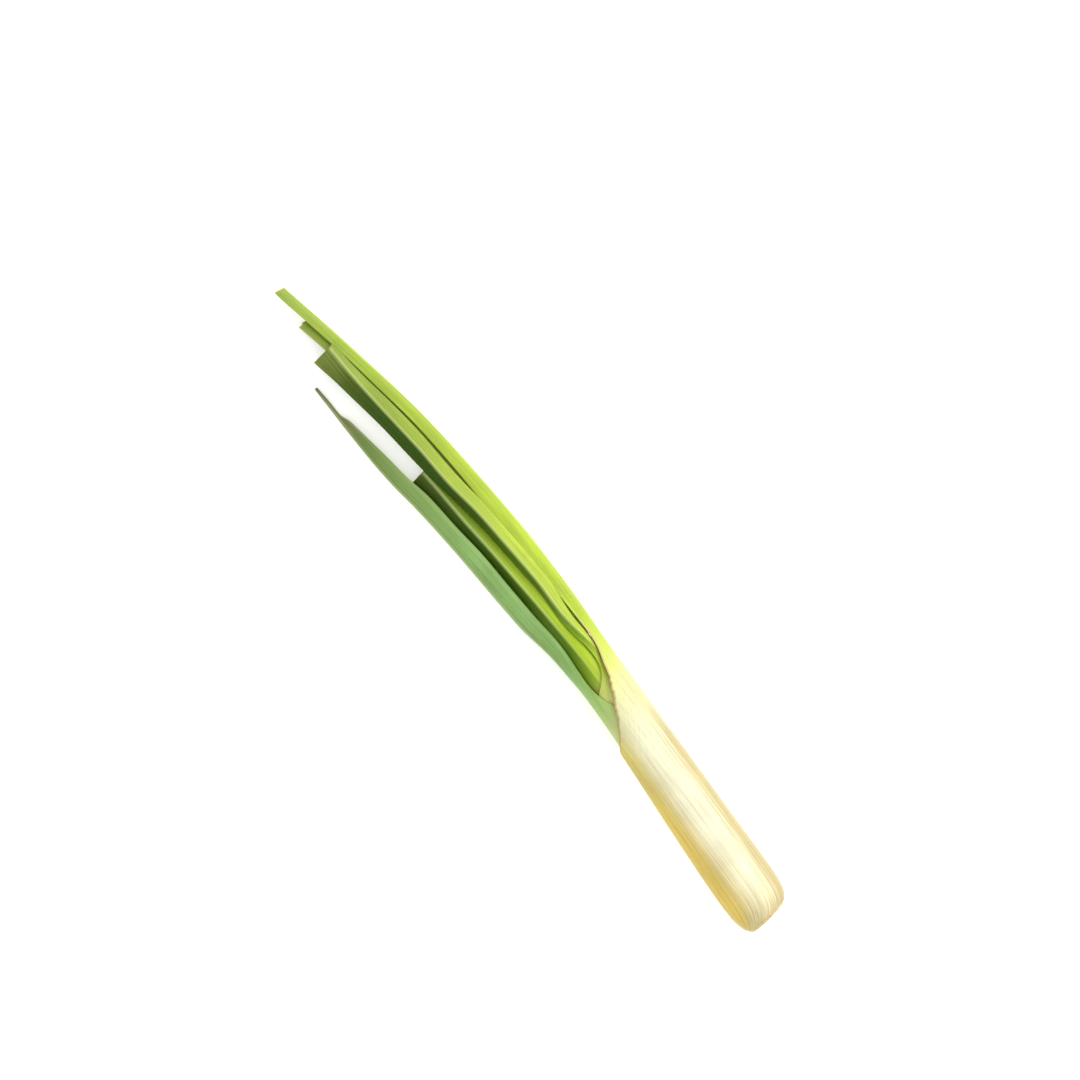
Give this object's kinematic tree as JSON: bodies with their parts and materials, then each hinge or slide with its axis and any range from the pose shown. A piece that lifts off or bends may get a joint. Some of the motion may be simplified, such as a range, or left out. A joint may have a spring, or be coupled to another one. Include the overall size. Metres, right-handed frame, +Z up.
{
  "type": "lemongrass stalk",
  "caption": "Trimmed fresh lemongrass stalk lying flat: pale rolled sheaths on a cut stem at the root end, opening into narrow folded green blades cut square or ending in a point.",
  "frame": {"origin": "middle of the bounding box's underside, on the surface that the stalk lies on", "axes": "+X from the cut root end to the blade tips, +Z up, +Y towards the pointed leaf's side"},
  "size_m": [0.28, 0.0304, 0.0203],
  "materials": {
    "stem": "freshly cut pale fibrous stem",
    "outer_leaf": "waxy cream sheath turning to a bright lime blade",
    "pointed_leaf": "matt blue-green leaf with a dusty bloom",
    "square_cut_leaf": "satin olive green leaf",
    "short_leaf": "satin dark green leaf",
    "inner_leaf": "satin lime green leaf",
    "heart_leaf": "smooth pale yellow-green young leaf"
  },
  "bodies": {
    "root": {"stem": "stem", "outer_leaf": "outer_leaf", "pointed_leaf": "pointed_leaf", "square_cut_leaf": "square_cut_leaf", "short_leaf": "short_leaf", "inner_leaf": "inner_leaf", "heart_leaf": "heart_leaf"}
  },
  "joints": []
}
